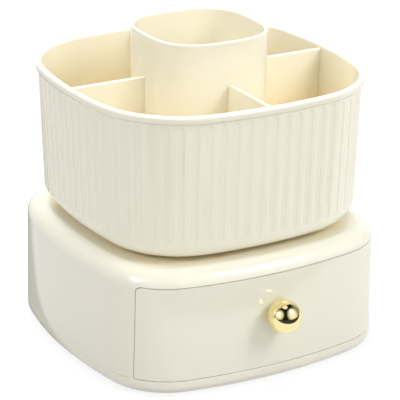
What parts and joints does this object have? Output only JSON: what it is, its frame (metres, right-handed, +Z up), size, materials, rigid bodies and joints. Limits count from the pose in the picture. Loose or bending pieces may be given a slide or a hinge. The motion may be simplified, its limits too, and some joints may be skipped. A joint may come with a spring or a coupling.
{
  "type": "rotating makeup organizer",
  "caption": "Square-round countertop organizer: a fluted bin with a centre cup and divided compartments turns on a ball bearing above a base with a pull-out drawer.",
  "frame": {"origin": "on the turntable's axis, at the centre of the middle foot's face, on the surface the organizer stands on", "axes": "+Z up along the turntable's axis; the drawer opens toward -Y; +X to the right seen from the drawer's side"},
  "size_m": [0.1798, 0.1977, 0.1826],
  "materials": {
    "ivory_shell": "glossy moulded",
    "gold": "polished, gold plated",
    "feet": "matte",
    "race_plastic": "smooth",
    "steel": "zinc plated",
    "bearing_steel": "polished"
  },
  "bodies": {
    "base": {"base_plate": "ivory_shell", "rubber_feet": "feet", "base_plate_screws": "steel", "base_housing": "ivory_shell", "lower_race": "race_plastic", "lower_race_screws": "steel", "pivot_washer": "steel", "pivot_screw": "steel"},
    "bin": {"fluted_bin": "ivory_shell", "center_cup": "ivory_shell", "divider_right": "ivory_shell", "divider_back": "ivory_shell", "divider_left": "ivory_shell", "divider_front": "ivory_shell", "upper_race": "race_plastic", "upper_race_screws": "steel"},
    "bearing": {"ball_cage": "race_plastic", "bearing_balls": "bearing_steel"},
    "drawer": {"drawer_tray": "ivory_shell", "drawer_front": "ivory_shell", "drawer_front_screws": "steel", "drawer_knob": "gold", "knob_screw": "steel"}
  },
  "joints": [
    {"name": "bin_turn", "type": "hinge", "parent": "base", "child": "bin", "pos_m": [0, 0, 0.07085], "axis": [0, 0, 1], "continuous": true},
    {"name": "bearing_turn", "type": "hinge", "parent": "base", "child": "bearing", "pos_m": [0, 0, 0.07085], "axis": [0, 0, 1], "continuous": true},
    {"name": "drawer_slide", "type": "slide", "parent": "base", "child": "drawer", "axis": [0, -1, 0], "range_m": [0, 0.11]}
  ],
  "couplings": [
    {"joint": "bearing_turn", "follows": "bin_turn", "ratio": 0.5}
  ]
}
